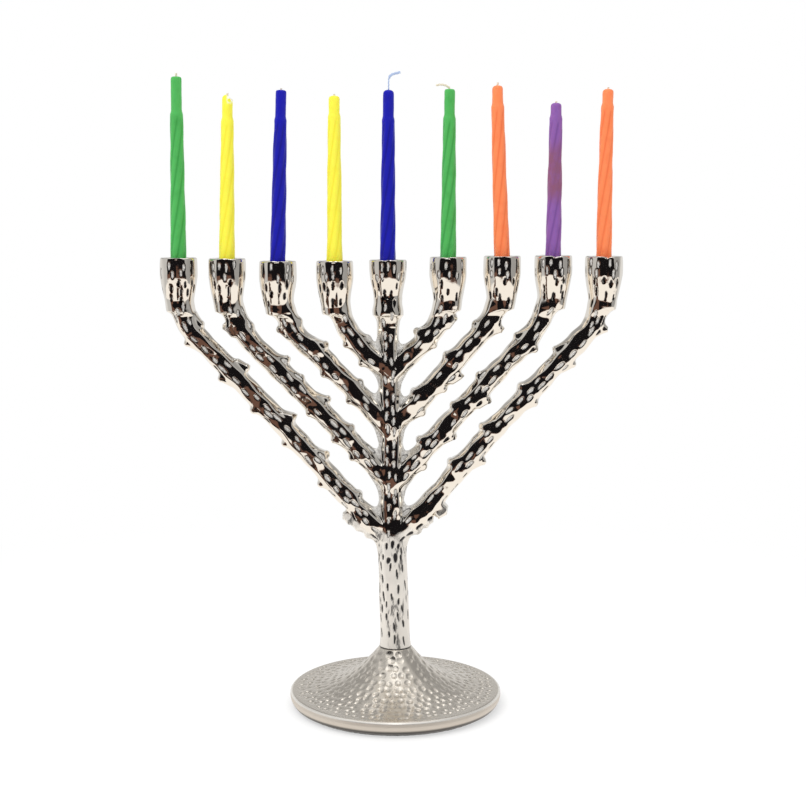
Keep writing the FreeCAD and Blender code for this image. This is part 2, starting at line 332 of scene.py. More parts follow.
def polished_aluminium():
    """Buffed faces like a mirror. The floors of the dents and the webs keep the mould's satin
    skin, and the trunk's foot is only brushed. The slits and a line round the dents are painted
    dark as shade."""
    material, n, where = new_material("polished_aluminium")
    satin, brushed = n.attribute("satin"), n.attribute("brushed")
    grain = n.noise(where, 2600.0, 2.0)
    upright = n.add("Mapping", {"Vector": where, "Scale": (1.0, 1.0, 0.22)}).outputs[0]
    streak = n.ramp(n.noise(upright, 520.0, 4.0, 0.7), 0.47, 0.60)
    patch = n.ramp(n.noise(upright, 170.0, 2.0), 0.50, 0.60)
    smudge = n.times(n.times(streak, patch), brushed)
    polished = n.ramp(n.noise(where, 90.0, 4.0, 0.6), 0.3, 0.75, 0.03, 0.09)
    matt = n.ramp(grain, 0.3, 0.7, 0.38, 0.52)
    rough = n.most(satin, n.times(brushed, 0.72))
    matt_share = n.most(n.times(satin, 0.6), n.times(brushed, 0.7))
    mottle = n.ramp(n.noise(where, 800.0, 3.0, 0.6), 0.35, 0.65)
    dull = n.mix(mottle, (0.58, 0.56, 0.53), (0.92, 0.90, 0.86))
    tone = n.mix(brushed, n.mix(satin, (0.90, 0.85, 0.775), dull), (0.88, 0.83, 0.76))
    # painted shade: dark in the slits and round the dents, plus smudges on the brushed foot
    painted_shade_and_grime = n.most(n.attribute("painted_shade_and_grime"), n.times(smudge, 0.8))
    skin = n.bump(grain, n.times(rough, 0.35), 0.0001)
    n.principled({
        "Base Color": n.mix(painted_shade_and_grime, tone, (0.022, 0.020, 0.022)),
        "Metallic": n.minus(1.0, matt_share),
        "Roughness": n.plus(polished, n.times(n.minus(matt, polished), rough)),
        "Normal": n.bump(n.noise(where, 420.0, 2.0), 0.05, 0.0004, skin),
    })
    return material


def hammered_aluminium():
    """Satin foot with peened dents, a buffed lower edge, a duller side painted darker as shade, and
    painted shade low on the side.
    """
    material, n, where = new_material("hammered_aluminium")
    buffed, side = n.attribute("buffed"), n.attribute("side")
    smear = n.noise(where, 70.0, 4.0, 0.6)
    matt = n.ramp(smear, 0.3, 0.75, 0.23, 0.30)
    roughness = n.plus(matt, n.times(n.minus(0.2, matt), buffed))
    tone = n.mix(smear, (0.74, 0.685, 0.605), (0.82, 0.765, 0.685))
    tone = n.mix(buffed, tone, (0.80, 0.765, 0.71))
    # painted shade: the side's darker tan stands in for the shade it reflects
    tone = n.mix(side, tone, (0.62, 0.56, 0.49))
    n.principled({
        # painted shade: the side darkened towards its bottom edge
        "Base Color": n.mix(n.attribute("painted_under_shade"), tone, (0.06, 0.055, 0.05)),
        "Metallic": n.minus(1.0, n.times(n.most(buffed, side), 0.5)),
        "Roughness": n.plus(roughness, n.times(side, 0.12)),
        "Normal": n.bump(n.noise(where, 3000.0, 2.0), 0.12, 0.00008),
    })
    return material


def zinc_steel():
    material, n, where = new_material("zinc_steel")
    spangle = n.noise(where, 900.0, 3.0)
    n.principled({
        "Base Color": n.mix(spangle, (0.52, 0.53, 0.55), (0.70, 0.71, 0.72)),
        "Metallic": 1.0,
        "Roughness": n.ramp(spangle, 0.3, 0.7, 0.28, 0.45),
        "Normal": n.bump(spangle, 0.1, 0.0001),
    })
    return material


def felt():
    material, n, where = new_material("felt")
    fibre = n.noise(where, 2200.0, 6.0, 0.7)
    tone = n.mix(n.noise(where, 130.0, 3.0), (0.018, 0.018, 0.020), (0.035, 0.034, 0.036))
    n.principled({
        "Base Color": n.mix(n.ramp(fibre, 0.45, 0.8), tone, (0.075, 0.073, 0.075)),
        "Roughness": 0.95,
        "Sheen Weight": 0.4,
        "Sheen Roughness": 0.6,
        "Normal": n.bump(fibre, 0.6, 0.0003),
    })
    return material


def wax(name, colour, deep, stain=None):
    """Dyed paraffin wax: soft gloss, light that goes a little way in, faint clouding."""
    material, n, where = new_material(name)
    cloud = n.noise(where, 160.0, 4.0, 0.55)
    tone = n.mix(n.ramp(cloud, 0.45, 0.75, 0.0, 0.35), colour, deep)
    # painted shade: the grooves darkened to the deep colour
    tone = n.mix(n.attribute("groove"), tone, deep)
    scuff = n.times(n.attribute("scuff"), n.ramp(n.noise(where, 700.0, 3.0), 0.42, 0.55))
    tone = n.mix(scuff, tone, (0.97, 0.96, 0.90))
    if stain is not None:
        patch = n.times(n.attribute("stain"), n.ramp(cloud, 0.25, 0.6, 0.55, 1.0))
        tone = n.mix(patch, tone, stain)
    n.principled({
        "Base Color": tone,
        "Roughness": n.ramp(cloud, 0.3, 0.75, 0.34, 0.44),
        "IOR": 1.44,
        "Specular IOR Level": 0.3,
        "Subsurface Weight": 0.3,
        "Subsurface Radius": (1.0, 0.6, 0.35),
        "Subsurface Scale": 0.0008,
        "Normal": n.bump(n.noise(where, 1500.0, 2.0), 0.08, 0.0001),
    })
    return material


def cotton(name, colour, deep):
    """Braided cotton stiffened with wax."""
    material, n, where = new_material(name)
    strand = n.noise(where, 2500.0, 4.0, 0.65)
    n.principled({
        "Base Color": n.mix(n.ramp(strand, 0.3, 0.7), deep, colour),
        "Roughness": n.ramp(strand, 0.3, 0.7, 0.55, 0.8),
        "Subsurface Weight": 0.2,
        "Subsurface Radius": (1.0, 0.9, 0.8),
        "Subsurface Scale": 0.0005,
        "Normal": n.bump(strand, 0.5, 0.0002),
    })
    return material


# ---- camera, light and floor -----------------------------------------------------------

CAMERA_LENS = 64.687
CAMERA_PLACE = (0.00435, -0.8, 0.27896)
CAMERA_DIP_DEGREES = 7.579
FLOOR_HALF_SIZE = 4.0
# front left, front right, back right and back left corners of the dark card
FLAG_CORNERS = [
    (-0.5, -0.62, 0.002), (-0.235, -0.62, 0.002), (-0.085, -0.10, 0.002), (-0.5, -0.10, 0.002),
]
LAMP_PLACE = (-0.55, -0.35, 1.15)
LAMP_AIM = (0.55, 0.35, -0.95)
LAMP_SIZE = (0.9, 0.7)
LAMP_POWER = 4.0
WHITE = (1.0, 1.0, 1.0)


def make_camera():
    camera = link("camera", bpy.data.cameras.new("camera"))
    camera.data.sensor_width = 36.0
    camera.data.lens = CAMERA_LENS
    camera.location = CAMERA_PLACE
    camera.rotation_euler = (math.radians(90 - CAMERA_DIP_DEGREES), 0.0, 0.0)
    camera.data.clip_start = 0.01
    camera.data.clip_end = 50.0
    bpy.context.scene.camera = camera


def make_world():
    """Room that the metal reflects: unlit in front, a cream table low down, grey walls, a
    bright strip overhead. The camera sees it white, and it lights the scene evenly."""
    world = bpy.data.worlds.new("studio")
    bpy.context.scene.world = world
    world.use_nodes = True
    n = Nodes(world.node_tree)
    direction = n.add("TexCoord").outputs["Generated"]
    axes = n.add("SeparateXYZ", {0: direction}).outputs
    turn = n.math("ARCTAN2", axes["X"], n.times(axes["Y"], -1.0))
    away = n.math("ABSOLUTE", turn)
    rise = n.math("ARCSINE", axes["Z"])
    blotch = n.noise(direction, 2.2, 2.0)

    def within_degrees(angle, low, high):
        return n.ramp(angle, math.radians(low), math.radians(high))

    def greys(dark, light):
        return n.mix(blotch, (dark, dark, dark), (light, light, light))

    sides = n.mix(within_degrees(turn, 20, 60), greys(0.48, 0.66), greys(0.30, 0.42))
    behind = n.mix(within_degrees(rise, 6, 34), greys(0.72, 0.86), greys(0.30, 0.42))
    colour = n.mix(within_degrees(away, 95, 125), sides, behind)
    colour = n.mix(within_degrees(rise, 52, 66), colour, (0.92, 0.92, 0.92))
    low_left = n.times(within_degrees(turn, -4.0, -7.0), within_degrees(rise, -3.5, -6.0))
    brown_share = n.most(low_left, within_degrees(rise, -14.0, -16.0))
    unlit = n.mix(brown_share, (0.008, 0.007, 0.008), (0.150, 0.078, 0.056))
    slant = n.plus(turn, n.times(rise, 0.75))
    dark = n.times(within_degrees(slant, 46, 40), within_degrees(turn, -62, -50))
    colour = n.mix(n.times(dark, within_degrees(rise, 58, 50)), colour, unlit)
    colour = n.mix(within_degrees(rise, -15.5, -18.0), colour, (1.02, 0.98, 0.93))
    strip = n.ramp(n.math("ABSOLUTE", axes["X"]), 0.11, 0.05)
    colour = n.mix(n.times(strip, within_degrees(rise, 36, 46)), colour, (1.9, 1.9, 1.9))
    mirrored = n.add("LightPath").outputs["Is Glossy Ray"]
    background = n.add("Background", {"Color": n.mix(mirrored, WHITE, colour)})
    n.surface(background, "OutputWorld")


def staged(name, corners, material):
    mesh = bpy.data.meshes.new(name)
    mesh.from_pydata(corners, [], [(0, 1, 2, 3)])
    mesh.materials.append(material)
    card = link(name, mesh)
    return card


def make_floor():
    """White table under the object. The metal mirrors the room's table instead of this one."""
    material, n, where = new_material("floor")
    distance = n.add("VectorMath", {0: where}, operation="LENGTH").outputs["Value"]
    matt = n.add("BsdfDiffuse", {"Color": (0.50, 0.50, 0.50)})
    lift = n.add("Emission", {"Color": WHITE, "Strength": 0.52})
    near = n.add("AddShader", {0: matt.outputs[0], 1: lift.outputs[0]})
    far = n.add("Emission", {"Color": WHITE, "Strength": 1.0})
    share = n.ramp(distance, 0.12, 0.5)
    n.surface(n.add("MixShader", {0: share, 1: near.outputs[0], 2: far.outputs[0]}))
    size = FLOOR_HALF_SIZE
    corners = [(-size, -size, 0), (size, -size, 0), (size, size, 0), (-size, size, 0)]
    staged("floor", corners, material).visible_glossy = False


def make_flag():
    """Dark card lying at the left in front, which only the metal sees."""
    material, n, where = new_material("flag")
    patches = n.ramp(n.noise(where, 7.0, 3.0), 0.44, 0.56)
    tone = n.mix(patches, (0.012, 0.010, 0.010), (0.15, 0.08, 0.055))
    n.surface(n.add("Emission", {"Color": tone, "Strength": 1.0}))
    flag = staged("flag", FLAG_CORNERS, material)
    flag.visible_camera = False
    flag.visible_diffuse = False
    flag.visible_shadow = False
    flag.visible_transmission = False


def make_lamp():
    """A broad soft lamp above and to the left."""
    lamp = link("key", bpy.data.lights.new("key", "AREA"))
    lamp.data.shape = "RECTANGLE"
    lamp.data.size, lamp.data.size_y = LAMP_SIZE
    lamp.data.energy = LAMP_POWER
    lamp.location = LAMP_PLACE
    lamp.rotation_euler = Vector(LAMP_AIM).to_track_quat("-Z", "Y").to_euler()
    lamp.visible_glossy = False


make_camera()
make_world()
make_floor()
make_flag()
make_lamp()
bpy.context.scene.view_settings.view_transform = "Standard"
bpy.context.scene.view_settings.look = "None"

# ---- the tree's surface as a distance field, in millimetres ----------------------------

LIMB_STEP = 1.6
LIMB_BLEND = 0.7
WEB_BLEND = 13.0
WEB_INSET = 1.5
WEB_HALF_DEPTH = 3.2
WEB_SOFTNESS = 0.9
CUP_BLEND = 0.9
CUP_FOOT_BLEND = 1.3
KNOT_BLEND = 0.9
SOCKET_BLEND = 0.3
KNOT_REACH = 9.0
LIMB_REACH = 23.0
WALKS = 4

# A bar's section is a six-sided one with soft edges: a face to the front and one to the back.
FACE_ANGLES = np.radians([0, 65, 115, 180, 245, 295])
FACE_SHARE = 0.955
EDGE_SOFTNESS = 0.45
FRONT_DEPTH = 5.8
FRONT = np.array([0.0, -1.0, 0.0])
UPWARDS = np.array([0.0, 0.0, 1.0])


def corners_of(route):
    return np.array([(x, 0.0, z) for x, z in route], float)


def rounded_route(route):
    """Points every LIMB_STEP along straight runs joined by tangent arcs, as in the design."""
    corners = corners_of(route)
    path = [corners[0]]
    for before, corner, after in zip(corners, corners[1:], corners[2:]):
        run_in, run_out = corner - before, after - corner
        cut = BEND_SHARE * min(np.linalg.norm(run_in), np.linalg.norm(run_out))
        start = corner - unit(run_in) * cut
        end = corner + unit(run_out) * cut
        for t in np.linspace(0, 1, 9):
            path.append((1 - t) ** 2 * start + 2 * t * (1 - t) * corner + t * t * end)
    path = np.array([*path, corners[-1]])
    along = lengths_along(path)
    return points_at(np.linspace(0, along[-1], int(along[-1] / LIMB_STEP) + 1), path, along)


class Limb:
    """A bar along a centre-line in the plane y = 0, with a half width, a half depth, a turn of
    its faces and a share of flatness (0 round, 1 six-sided) at each point."""

    def __init__(self, centres, radii, depths, rolls, flatness):
        self.centres, self.radii = centres, radii
        self.sections = np.stack([radii, depths, rolls, flatness], axis=-1)
        self.tangents = unit(np.gradient(centres, axis=0))
        self.along = lengths_along(centres)
        self.slopes = np.gradient(self.sections, self.along, axis=0)
        self.bends = np.gradient(self.tangents, self.along, axis=0)
        self.low = centres.min(0) - LIMB_REACH
        self.high = centres.max(0) + LIMB_REACH

    def stations(self, points):
        """Number of the nearest centre to each point, found by walking along the bar, which
        rises all the way."""
        last = len(self.centres) - 1
        step = self.along[-1] / last
        index = np.clip(np.searchsorted(self.centres[:, 2], points[:, 2]), 0, last)
        for _ in range(WALKS):
            lengthwise = ((points - self.centres[index]) * self.tangents[index]).sum(-1)
            index = np.clip(index + np.rint(lengthwise / step).astype(int), 0, last)
        choices = np.clip(index[:, None] + np.arange(-2, 3), 0, last)
        gaps = ((points[:, None, ::2] - self.centres[choices][:, :, ::2]) ** 2).sum(-1)
        return choices[np.arange(len(points)), gaps.argmin(1)]

    def near(self, points):
        """The points that this bar or its webs can reach."""
        chosen = np.flatnonzero(np.all((points > self.low) & (points < self.high), axis=1))
        gap = (points[chosen] - self.centres[self.stations(points[chosen])])[:, ::2]
        return chosen[(gap ** 2).sum(1) < LIMB_REACH ** 2]

    def distances(self, points):
        """Distance to the bar and its gradient, then the same for its outline from the front."""
        nearest = self.stations(points)
        centre, tangent = self.centres[nearest], self.tangents[nearest]
        half = 0.5 * LIMB_STEP
        lengthwise = ((points - centre) * tangent).sum(-1)
        slide = np.clip(lengthwise, -half, half)
        at_end = (nearest == 0) | (nearest == len(self.centres) - 1)
        beyond = np.where(at_end, np.abs(lengthwise) - half, -100.0)
        out = points - centre - tangent * slide[:, None]
        tangent = unit(tangent + self.bends[nearest] * slide[:, None])
        across = leftwards(tangent)
        sideways, forwards = (out * across).sum(-1), -out[:, 1]
        section = self.sections[nearest] + self.slopes[nearest] * slide[:, None]
        radius, depth, roll, flat = np.ascontiguousarray(section.T)
        total = np.zeros(len(points))
        face_gradient = np.zeros_like(points)
        for face_angle in FACE_ANGLES:
            sine, cosine = np.sin(roll + face_angle), np.cos(roll + face_angle)
            wide, deep = np.abs(sine), np.abs(cosine)
            reach = (wide * radius + deep * depth) / (wide + deep)
            face = sideways * sine + forwards * cosine - FACE_SHARE * reach
            face = np.exp(face / EDGE_SOFTNESS)
            total += face
            face_gradient += (across * sine[:, None] + FRONT * cosine[:, None]) * face[:, None]
        faceted = EDGE_SOFTNESS * np.log(total)
        face_gradient /= total[:, None]
        length = np.maximum(np.linalg.norm(out, axis=1), 1e-6)
        distance = (1 - flat) * (length - radius) + flat * faceted
        gradient = (1 - flat)[:, None] * out / length[:, None] + flat[:, None] * face_gradient
        outline = np.abs(sideways) - radius
        outline_gradient = across * np.sign(sideways)[:, None]
        endwise = tangent * np.sign(lengthwise)[:, None]
        gradient = np.where((beyond > distance)[:, None], endwise, gradient)
        outline_gradient = np.where((beyond > outline)[:, None], endwise, outline_gradient)
        return np.maximum(distance, beyond), gradient, np.maximum(outline, beyond), outline_gradient


def trunk_limb():
    heights, across, radii = np.array(TRUNK_STATIONS).T
    z = np.linspace(heights[0] - 4.0, heights[-1], 140)
    x, radius = np.interp(z, heights, across), np.interp(z, heights, radii)
    kernel = np.array([1, 3, 4, 3, 1]) / 12
    for values in (x, radius):
        values[2:-2] = np.convolve(values, kernel, "valid")
    flatness = ramp(z, 84.0, 98.0) * ramp(-z, -226.0, -218.0)
    depths = flatness * FRONT_DEPTH + (1 - flatness) * radius
    rolls = np.radians(5.0) * np.sin(z / 9.0)
    return Limb(np.stack([x, np.zeros_like(z), z], axis=-1), radius, depths, rolls, flatness)


def arm_limb(number):
    """An arm that swells and turns a little along its length, and thins towards its cup."""
    centres = rounded_route(ARM_ROUTES[number])
    rng = np.random.default_rng(100 + number)
    along = np.arange(len(centres)) * LIMB_STEP

    def wave(wavelength):
        return np.sin(along * 2 * math.pi / wavelength + rng.uniform(0, 6))

    swell = sum(size * wave(wavelength) for size, wavelength in ARM_SWELLS)
    depths = FRONT_DEPTH - ARM_THINNING * ramp(along, along[-1] - 24.0, along[-1] - 14.0)
    rolls = sum(np.radians(size) * wave(wavelength) for size, wavelength in ARM_TURNS)
    return Limb(centres, ARM_RADIUS + swell - 0.1, depths, rolls, np.ones(len(centres)))


TRUNK = trunk_limb()
ARMS = {number: arm_limb(number) for number in ARM_ROUTES}


def from_axis(points, x):
    """Distance of each point from an upright axis, and its direction from there."""
    flat = points[:, :2] - np.array([x, 0.0])
    rho = np.linalg.norm(flat, axis=1)
    return rho, flat / np.maximum(rho, 1e-6)[:, None]


def cup_distance(points, number):
    """Distance to a cup and its gradient: a turned shape with a rounded lip."""
    x, rim_z = RIMS[number]
    rho, outward = from_axis(points, x)
    depth = rim_z - points[:, 2]
    depths, radii = CUP_PROFILES[number].T
    slope = (np.interp(depth + 1, depths, radii) - np.interp(depth - 1, depths, radii)) / 2
    steep = 1 / np.sqrt(1 + slope ** 2)
    side = rho - (np.interp(depth, depths, radii) - CUP_LIP)
    top = CUP_LIP - depth
    corner = np.hypot(np.maximum(side, 0), np.maximum(top, 0))
    inside = np.minimum(np.maximum(side, top), 0)
    distance = (corner + inside - CUP_LIP) * steep
    round_lip = (side > 0) | (top > 0)
    corner = np.maximum(corner, 1e-6)
    side_share = np.where(round_lip, np.maximum(side, 0) / corner, side >= top)
    top_share = np.where(round_lip, np.maximum(top, 0) / corner, top > side)
    gradient = np.zeros_like(points)
    gradient[:, :2] = outward * (side_share * steep)[:, None]
    gradient[:, 2] = top_share + side_share * slope * steep
    bottom = depth - CUP_HEIGHT
    gradient[bottom > distance] = -UPWARDS
    return np.maximum(distance, bottom), unit(gradient)


def cup_faces(points, number):
    """How far the cup's flattened front and back stand in from its turned shape."""
    x, rim_z = RIMS[number]
    angle = np.arctan2(points[:, 0] - x, np.abs(points[:, 1]))
    share = np.clip(angle / CUP_FACE_HALF_ANGLE, -1.0, 1.0)
    flattened = ramp(rim_z - points[:, 2], 0.0, 0.7)
    return CUP_FACE_DEPTH * np.cos(0.5 * math.pi * share) ** 2 * flattened


def plate(points, outline, outline_gradient, half_depth, softness):
    """Distance to a flat plate and its gradient, from those to its outline in the plane y = 0."""
    side = np.exp(np.minimum(outline, 20.0) / softness)
    face = np.exp((np.abs(points[:, 1]) - half_depth) / softness)
    gradient = outline_gradient * side[:, None]
    gradient[:, 1] += np.sign(points[:, 1]) * face
    return softness * np.log(side + face), gradient / (side + face)[:, None]


def knot_distance(points, foot, tip, foot_radius, tip_radius, half_depth):
    """Distance to a knot: a blunt wedge with a flat front and back, and soft edges."""
    level = np.array([1.0, 0.0, 1.0])
    axis = (tip - foot) * level
    length = np.linalg.norm(axis)
    axis = axis / length
    flat = (points - foot) * level
    t = np.clip(flat @ axis / length, 0, 1)
    out = flat - np.outer(t * length, axis)
    size = np.linalg.norm(out, axis=1)
    outline = size - foot_radius - (tip_radius - foot_radius) * t
    return plate(points, outline, out / np.maximum(size, 1e-6)[:, None], half_depth, KNOT_BLEND)


def upper_side(tangent):
    """Direction square to a limb's own, in the plane y = 0, on its upper side."""
    upper = leftwards(tangent)
    return -upper if tangent[0] < 0 else upper


def place_on_route(number, distance):
    """Point on the straight runs of an arm's route, and the direction of its upper side."""
    corners = corners_of(ARM_ROUTES[number])
    for start, end in zip(corners, corners[1:]):
        run = end - start
        length = np.linalg.norm(run)
        if distance <= length:
            break
        distance -= length
    along = run / length
    return start + along * distance, upper_side(along)


def knot_shapes():
    """Foot and tip of every knot, with its radii and half depth, a little uneven."""
    rng = np.random.default_rng(7)
    shapes = []
    for number, row in [*KNOTS.items(), *ROOT_KNOTS.items()]:
        for distance, reach in row:
            centre, upper = place_on_route(number, distance)
            outward = upper * math.copysign(1.0, reach)
            lean = unit(outward - FRONT * rng.uniform(-0.12, 0.12))
            tip_radius = KNOT_TIP_RADIUS * rng.uniform(0.9, 1.15)
            towards_cup = np.array([outward[2], 0.0, -outward[0]])
            towards_cup *= math.copysign(1.0, towards_cup[2])
            slant = KNOT_LEAN * math.copysign(1.0, -reach) + rng.uniform(-0.1, 0.1)
            foot = centre + lean * (abs(reach) - KNOT_RISE)
            tip = centre + unit(lean + towards_cup * slant) * (abs(reach) - 0.9 * tip_radius)
            half_depth = KNOT_HALF_DEPTHS[rng.integers(2)]
            shapes.append((foot, tip, KNOT_FOOT_RADIUS, tip_radius, half_depth))
    return shapes


KNOT_SHAPES = knot_shapes()


def blend_in(distance, gradient, chosen, extra, extra_gradient, reach, sign=1):
    """Smooth union of more metal into a few of the points, or with sign -1 its removal."""
    own = sign * distance[chosen]
    least = np.minimum(own, extra)
    old = np.exp((least - own) / reach)[:, None]
    new = np.exp((least - extra) / reach)[:, None]
    total = old + new
    distance[chosen] = sign * (least - reach * np.log(total[:, 0]))
    gradient[chosen] = (gradient[chosen] * old + sign * extra_gradient * new) / total


def cut_out(distance, gradient, chosen, hole, hole_gradient):
    blend_in(distance, gradient, chosen, hole, hole_gradient, SOCKET_BLEND, -1)


def within(points, x, low_z, high_z, reach):
    """Numbers of the points in an upright slab round an x."""
    level = (points[:, 2] > low_z) & (points[:, 2] < high_z)
    return np.flatnonzero((np.abs(points[:, 0] - x) < reach) & level)


def hole_distance(points, x, floor_z, radius, open_upwards):
    """Distance to a round blind hole and its gradient: negative in the hole."""
    rho, outward = from_axis(points, x)
    wall = rho - radius
    end = (floor_z - points[:, 2]) if open_upwards else (points[:, 2] - floor_z)
    gradient = np.zeros_like(points)
    gradient[:, :2] = outward
    gradient[end > wall] = -UPWARDS if open_upwards else UPWARDS
    return np.maximum(wall, end), gradient


def webbed(trunk, trunk_gradient, arm, arm_gradient):
    """Outline of the trunk and one arm with the crotches between them filled."""
    mixed = np.maximum(WEB_BLEND - np.abs(trunk - arm), 0.0) / WEB_BLEND
    outline = np.minimum(trunk, arm) - 0.25 * WEB_BLEND * mixed ** 2
    share = np.where(trunk < arm, 1 - 0.5 * mixed, 0.5 * mixed)[:, None]
    return outline, trunk_gradient * share + arm_gradient * (1 - share)


def limbs_distance(points):
    """Distance to the trunk and arms with the thin webs between them, its gradient, and how far
    each point lies on a web."""
    distance, gradient, trunk, trunk_gradient = TRUNK.distances(points)
    weight = np.exp(-distance / LIMB_BLEND) + 1e-30
    pull = gradient * weight[:, None]
    trunk = trunk + WEB_INSET
    side, side_gradient = trunk.copy(), trunk_gradient.copy()
    for limb in ARMS.values():
        chosen = limb.near(points)
        distance, gradient, arm, arm_gradient = limb.distances(points[chosen])
        share = np.exp(-distance / LIMB_BLEND)
        weight[chosen] += share
        pull[chosen] += gradient * share[:, None]
        pair = webbed(trunk[chosen], trunk_gradient[chosen], arm + WEB_INSET, arm_gradient)
        nearer = pair[0] < side[chosen]
        side[chosen[nearer]] = pair[0][nearer]
        side_gradient[chosen[nearer]] = pair[1][nearer]
    distance = -LIMB_BLEND * np.log(weight)
    gradient = pull / weight[:, None]
    web, web_gradient = plate(points, side, side_gradient, WEB_HALF_DEPTH, WEB_SOFTNESS)
    on_web = ramp(distance - web, -0.5, 0.9)
    blend_in(distance, gradient, np.arange(len(points)), web, web_gradient, LIMB_BLEND)
    return distance, gradient, on_web


def unevenness(points):
    """Ripple of the cast skin: gentle on the trunk's foot, upright streaks on the cups."""
    foot = ramp(-points[:, 2], -100.0, -86.0)
    cup = ramp(points[:, 2], 224.0, 232.0)
    arm = (1 - foot) * (1 - cup)
    ripple = (0.12 * arm + 0.05 * foot + 0.04 * cup) * waves(points, 14.0, 11)
    ripple += (0.04 * arm + 0.02 * foot) * waves(points, 6.0, 12)
    return ripple + 0.05 * cup * waves(points * np.array([1.0, 1.0, 0.3]), 4.6, 13)


def tree_distance(points):
    """Distance to the finished casting and its gradient, at points in millimetres."""
    distance, gradient, _ = limbs_distance(points)
    for number, (x, rim_z) in RIMS.items():
        chosen = within(points, x, rim_z - CUP_HEIGHT - 8, rim_z + 5, CUP_RADIUS + 5)
        cup, cup_gradient = cup_distance(points[chosen], number)
        cup += cup_faces(points[chosen], number)
        reach = CUP_BLEND + CUP_FOOT_BLEND * ramp(rim_z - points[chosen, 2], 22.0, 29.0)
        blend_in(distance, gradient, chosen, cup, cup_gradient, reach)
    for shape in KNOT_SHAPES:
        chosen = np.flatnonzero(np.abs(points - shape[0]).max(1) < KNOT_REACH)
        blend_in(distance, gradient, chosen, *knot_distance(points[chosen], *shape), KNOT_BLEND)
    distance -= unevenness(points)
    for x, rim_z in RIMS.values():
        floor_z = rim_z - SOCKET_DEPTH
        chosen = within(points, x, floor_z - 3, rim_z + 6, SOCKET_RADIUS + 3)
        hole = hole_distance(points[chosen], x, floor_z, SOCKET_RADIUS, True)
        cut_out(distance, gradient, chosen, *hole)
    chosen = np.flatnonzero(points[:, 2] < BOLT_HOLE_TOP + 3)
    hole = hole_distance(points[chosen], 0.0, BOLT_HOLE_TOP, BOLT_RADIUS, False)
    cut_out(distance, gradient, chosen, *hole)
    chosen = np.flatnonzero(points[:, 2] < SEAM_Z + 4)
    cut_out(distance, gradient, chosen, points[chosen, 2] - SEAM_Z, UPWARDS)
    return distance, gradient


def onto_tree(points, rounds):
    """Points moved onto the casting's surface."""
    for _ in range(rounds):
        distance, gradient = tree_distance(points)
        size = np.maximum((gradient ** 2).sum(1), 0.2)
        step = np.clip(distance / size, -1.5, 1.5)
        points = points - gradient * step[:, None]
    return points


# ---- rough mesh of the tree, then its finished surface ----------------------------------

ROUGH_VOXEL = 0.9
FINE_VOXEL = 0.42


def tube_mesh(centres, radii, columns=24):
    return grid_mesh("rough", tube(centres, np.repeat(radii[:, None], columns, axis=1), 1))


def cup_mesh(number):
    """Closed turned cup with its socket, in millimetres."""
    profile = [(0.01, -SOCKET_DEPTH), (SOCKET_RADIUS, -SOCKET_DEPTH), (SOCKET_RADIUS, -6.0)]
    profile += [(SOCKET_RADIUS, 0.0), (CUP_RADIUS - CUP_LIP, 0.0), (CUP_RADIUS, -CUP_LIP)]
    profile += [(radius, -depth) for depth, radius in CUP_PROFILES[number][1:]]
    profile += [(0.01, -CUP_HEIGHT)]
    points = lathe(profile[::-1], 48) + np.array([RIMS[number][0], 0.0, RIMS[number][1]])
    return grid_mesh("rough", points)


def rough_tree():
    """Every tube, cup and knot of the casting, as one mesh of closed shapes that overlap."""
    meshes = [tube_mesh(TRUNK.centres[3:], TRUNK.radii[3:])]
    meshes += [tube_mesh(limb.centres, limb.radii) for limb in ARMS.values()]
    meshes += [cup_mesh(number) for number in RIMS]
    for foot, tip, foot_radius, tip_radius, _ in KNOT_SHAPES:
        centres = np.stack([foot, 0.5 * (foot + tip), tip])
        radii = np.array([foot_radius, 0.5 * (foot_radius + tip_radius), tip_radius])
        meshes.append(tube_mesh(centres, radii, 12))
    corners, faces, offset = [], [], 0
    for mesh in meshes:
        corners.append(read(mesh.vertices, "co"))
        faces += [[offset + v for v in polygon.vertices] for polygon in mesh.polygons]
        offset += len(mesh.vertices)
    joined = bpy.data.meshes.new("rough")
    joined.from_pydata(np.concatenate(corners).tolist(), [], faces)
    return joined


def voxel_skin(mesh, voxel):
    """One closed skin round a mesh, with quads of about the voxel's size."""
    holder = link("rough", mesh)
    modifier = holder.modifiers.new("skin", "REMESH")
    modifier.mode = "VOXEL"
    modifier.voxel_size = voxel
    bpy.context.view_layer.update()
    graph = bpy.context.evaluated_depsgraph_get()
    skin = bpy.data.meshes.new_from_object(holder.evaluated_get(graph))
    bpy.data.objects.remove(holder)
    return skin


# ---- dents ------------------------------------------------------------------------------

# rows along a limb: (degrees from the front towards the upper side, share kept, share of slits)
ARM_ROWS = [(-15, 0.72, 0.0), (15, 0.72, 0.0), (-46, 0.45, 0.7), (62, 0.4, 0.0)]
ARM_ROWS += [(180 - angle, kept, slits) for angle, kept, slits in ARM_ROWS]
TRUNK_ROWS = [(angle, 0.85, 0.0) for angle in (-17, 17, 163, 197)]
FOOT_ROWS = [(angle, 0.66, 1.0) for angle in range(-180, 180, 22)]
# spacing along the limb, length, width and depth of the dents
ARM_DENT = (8.2, 5.5, 1.75, 0.45)
TRUNK_DENT = (6.6, 4.8, 1.6, 0.42)
FOOT_DENT = (8.4, 5.6, 1.4, 0.5)
LOWEST_CROTCH_Z = 98.0
CUP_DENT_DEPTHS = (4.5, 9.0, 13.5, 18.0, 22.5)
CUP_DENT_PITCH = 4.4
CUP_DENT_SIZES = (2.4, 0.8, 0.34)
CUP_SLIT_DEPTH = 12.0
CROTCH_SLIT_DEPTH = 0.5
LEAST_DENT_GAP = 3.3
MOST_DENT_SHIFT = 2.2
DENT_SQUARENESS = 2.2

